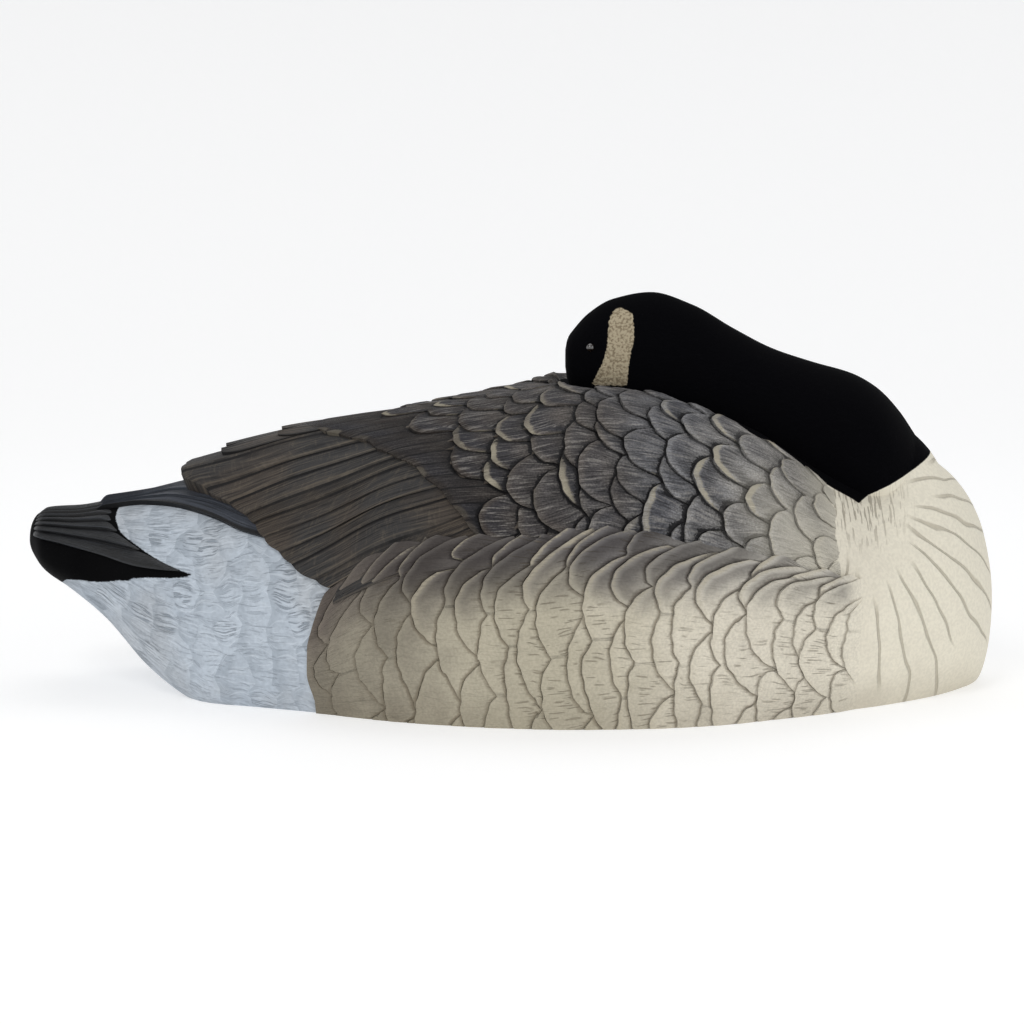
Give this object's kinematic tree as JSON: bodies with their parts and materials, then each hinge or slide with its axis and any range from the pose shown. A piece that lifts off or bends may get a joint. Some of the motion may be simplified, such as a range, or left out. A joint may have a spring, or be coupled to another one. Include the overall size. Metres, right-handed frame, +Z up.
{
  "type": "goose decoy",
  "caption": "Sleeping goose decoy: a moulded shell, hollow and open below, with carved feathers and the head laid on the back.",
  "frame": {"origin": "on the ground, under the middle of the shell's bounding box", "axes": "+X along the body from the tail towards the breast, +Z up, +Y across the body"},
  "size_m": [0.6726, 0.343, 0.2737],
  "materials": {
    "painted_shell": "matte painted moulded plastic: brown and grey feathers, cream flanks and breast, pale rump, black tail, flocked black head and neck with a cream cheek patch"
  },
  "bodies": {
    "root": {"goose_shell": "painted_shell"}
  },
  "joints": []
}
